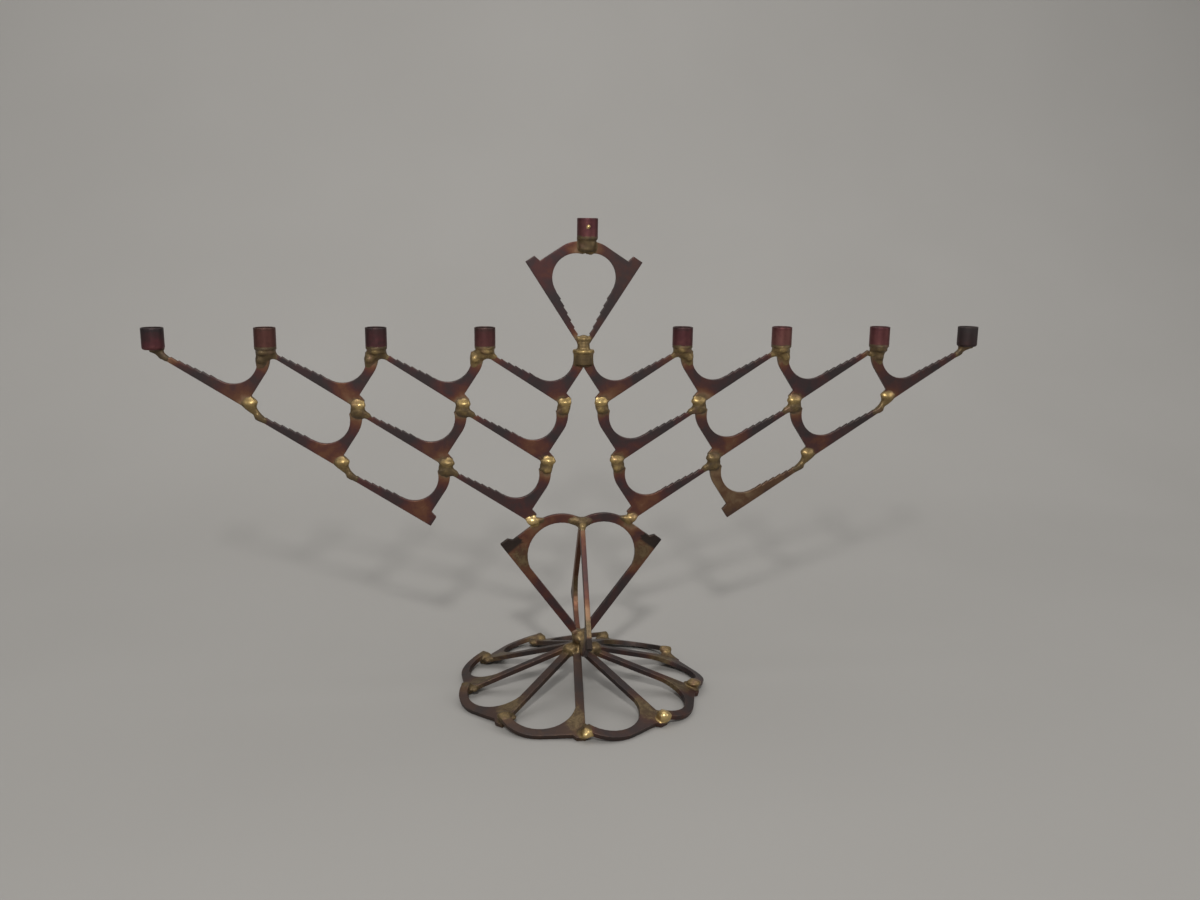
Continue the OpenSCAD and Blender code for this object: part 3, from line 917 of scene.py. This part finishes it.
# the collar between the wings, with its neck and flange
lo, hi = (np.array(c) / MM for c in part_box("braze_collar"))
flange_r = (hi[0] - lo[0]) / 2
collar_z = hi[2] - 8.4
hearts = ["heart_blade_left", "heart_blade_right"]
inner = [wing_blade("left", 1, 4), wing_blade("right", 1, 4)]
seeds = [
    (drum((0, 0), 5.1, lo[2] + 0.2, collar_z - 0.4, 0.9), 0.74),
    (drum((0, 0), flange_r - 0.1, collar_z - 0.9, collar_z + 0.9, 0.4), 0.26),
    (rod((0, 0, collar_z), (0, 0, hi[2] - 2.4), 3.9, 3.0), 0.66),
    (ball((0, 0, hi[2] - 1.5), (3.6, 2.8, 1.4)), 0.42),
]
build_braze("braze_collar", [
    melt("collar", seeds, hearts + inner, wet=1.5, reach=1.5, step=0.32, uneven=0.05, ripple=0.16, soft=1.2),
])

# under the middle cup, and the stray drop on its front
c, r, z0, z1 = cup_spec("cup_shamash")
seeds = [
    (drum(c - (0.2, 0), r - 0.6, z0 - 6.2, z0 + 2.2, 1.2), 0.78),
    (ball((c[0] - 2.0, 0, z0 - 6.2), (1.4, 1.5, 1.4)), 0.60),
    (ball((c[0] + 1.9, 0, z0 - 6.7), (1.7, 1.6, 1.6)), 0.50),
]
build_braze("braze_shamash", [
    melt("sham", seeds, hearts, (c, r, z0, z1), wet=1.0, reach=1.4, step=0.34, uneven=0.10),
    melt("drop", [(ball((c[0] + 0.2, -r, z0 + 6.8), (1.3, 0.8, 1.3)), 0.10)], [], (c, r, z0, z1),
         wet=0.8, reach=0.5, step=0.20, uneven=0.03),
])

# where the four stem blades meet, above and below
STEM = [f"stem_blade_{w}" for w in ("left", "right", "front", "rear")]
lo, hi = (np.array(c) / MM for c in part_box("braze_stem_top"))
mid = (lo + hi) / 2
seeds = [
    (ball((0, 0, mid[2] + 0.6), (3.4, 3.0, 2.0)), 0.70),
    (ball((-4.4, 0, mid[2] + 1.5), (3.0, 1.9, 1.5)), 0.62),
    (ball((3.4, 0, mid[2] + 1.0), (1.8, 1.8, 1.3)), 0.80),
    (ball((0, -3.0, mid[2] - 1.2), (1.8, 2.2, 1.8)), 0.50),
    (ball((0, 3.0, mid[2] - 1.2), (1.8, 2.2, 1.8)), 0.70),
]
build_braze("braze_stem_top", [melt("top", seeds, STEM, wet=2.0, reach=2.0)])

SPOKES = [f"base_blade_{k}" for k in range(1, 10)]
lo, hi = (np.array(c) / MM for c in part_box("braze_hub"))
hub = (lo + hi) / 2
seeds = [
    (ball((0, 0, hub[2] + 1.6), (5.2, 5.0, 4.8)), 0.72),
    (ball((-1.2, -3.0, hub[2] + 2.6), (4.2, 3.2, 3.2)), 0.64),
    (ball((0, 0, hub[2] - 3.8), (6.2, 6.2, 2.8)), 0.80),
]
build_braze("braze_hub", [melt("hub", seeds, STEM + SPOKES, wet=2.4, reach=2.4, uneven=0.14)])

parts = []
for n, (a, b) in enumerate(sorted(joints_of("braze_hub_lobes", 5.0), key=lambda g: g[0][0])):
    m = (a + b) / 2
    left = m[0] < 0
    size = (5.4, 4.2, 3.3) if left else (4.2, 3.8, 3.2)
    seeds = [(ball((m[0] * (0.84 if left else 0.94), m[1], m[2] + 1.8), size), 0.62 if left else 0.76)]
    parts.append(melt(f"lobe{n}", seeds, SPOKES + ["stem_blade_front"], wet=2.2, reach=2.2, uneven=0.14))
build_braze("braze_hub_lobes", parts)

# how dull the braze is at each heel of the base, where the arm of the blade before arrives
RIM_AGE = [0.66, 0.74, 0.58, 0.56, 0.54, 0.48, 0.52, -0.16, 0.12]
BRIGHT_BEAD = 0.2        # a joint less dull than this is a round bead, the others are flat washes
WASH_OVER = (0, 5, 6)    # the washes that cover the arm's end; the others lie beside it
parts = []
for k in range(9):
    before, mine = BLADES[SPOKES[k]], BLADES[SPOKES[(k + 1) % 9]]
    up = mine.n * (1 if mine.n[2] > 0 else -1)
    end = before.world(*before.arm_end)
    out = np.array([end[0], end[1], 0.0]) / np.hypot(end[0], end[1])
    seeds = [
        (rod(end - 0.8 * up, mine.world(3.6, 1.6) + up * 0.2, 1.6, 2.2), 0.72),
        (ball(mine.world(7.4, -1.6) + up * 0.6, (2.4, 2.4, 1.4)), 0.74),
    ]
    if RIM_AGE[k] < BRIGHT_BEAD:
        low, bead = (2.1, 2.4) if k == 8 else (0.4, 3.2)
        blob = ball(end + out * (1.2 + low) - (0, 0, low), (bead, bead, bead * 0.85))
    else:
        lift, size = (0.1, (3.8, 3.8, 1.7)) if k in WASH_OVER else (-0.8, (3.0, 3.0, 1.2))
        blob = ball(end - out * 0.2 + lift * up, size)
    seeds.append((blob, RIM_AGE[k]))
    parts.append(melt(f"rim{k}", seeds, [mine.node, before.node], wet=2.2, reach=2.2, uneven=0.08, step=0.42))
build_braze("braze_rim", parts)


# ---------------------------------------------------------------- floor and light
def backdrop():
    """A pale sheet: a floor that sweeps up into a wall behind."""
    prof = [(-2.4, 0.0)] + [(y, 0.0) for y in np.linspace(-1.2, 0.30, 16)]
    prof += [(0.30 + 0.9 * math.sin(a), 0.9 - 0.9 * math.cos(a)) for a in np.linspace(0.05, math.pi / 2, 24)]
    prof += [(1.2, z) for z in np.linspace(1.1, 3.0, 8)]
    bm = bmesh.new()
    rows = []
    for y, z in prof:
        rows.append([bm.verts.new((x, y, z)) for x in np.linspace(-3.2, 3.2, 17)])
    for a, b in zip(rows, rows[1:]):
        for j in range(16):
            bm.faces.new((a[j], a[j + 1], b[j + 1], b[j]))
    mesh = bpy.data.meshes.new("backdrop")
    bm.to_mesh(mesh)
    bm.free()
    mesh.polygons.foreach_set("use_smooth", [True] * len(mesh.polygons))
    n = Nodes("pale_paper")
    cloud = n.noise(260.0, 2.0, 0.5)
    tooth = n.noise(1.2, 2.0, 0.6)
    paper = n.mix(cloud, (0.386, 0.374, 0.355), (0.424, 0.412, 0.393))
    # painted shade: the sheet's colour is darkened towards the front, standing in for less light falling on
    # the floor there
    colour = n.mix(n.span(n.axis(1), -0.35, 0.75, 0.20, 0.0), paper, (0.0, 0.0, 0.0))
    n.finish(colour, 0.85, 0.0, n.bump(tooth, 0.05, 0.3))
    mesh.materials.append(n.mat)
    piece = bpy.data.objects.new("backdrop", mesh)
    scene.collection.objects.link(piece)


def area_light(name, at, aim, size, power, colour=(1.0, 1.0, 1.0)):
    light = bpy.data.lights.new(name, "AREA")
    light.shape = "RECTANGLE"
    light.size, light.size_y = size
    light.energy = power
    light.color = colour
    obj = bpy.data.objects.new(name, light)
    obj.location = at
    obj.rotation_euler = (Vector(aim) - Vector(at)).to_track_quat("-Z", "Y").to_euler()
    scene.collection.objects.link(obj)


backdrop()
area_light("key", (-0.15, -0.98, 0.80), (0, 0, 0.12), (0.09, 0.09), 7.2, (1.0, 0.985, 0.96))
area_light("top", (0.0, 0.40, 1.65), (0, 0.25, 0.0), (2.2, 1.4), 12.0, (1.0, 0.99, 0.98))
area_light("left", (-1.5, -0.9, 0.9), (0, 0, 0.15), (0.9, 1.2), 4.0, (1.0, 0.99, 0.98))
area_light("right", (1.5, -0.7, 0.9), (0, 0, 0.15), (0.9, 1.2), 6.5, (1.0, 0.99, 0.98))

world = bpy.data.worlds.new("studio")
world.use_nodes = True
world.node_tree.nodes["Background"].inputs["Color"].default_value = (0.80, 0.795, 0.785, 1.0)
world.node_tree.nodes["Background"].inputs["Strength"].default_value = 0.32
scene.world = world
scene.view_settings.view_transform = "Standard"
scene.view_settings.look = "None"
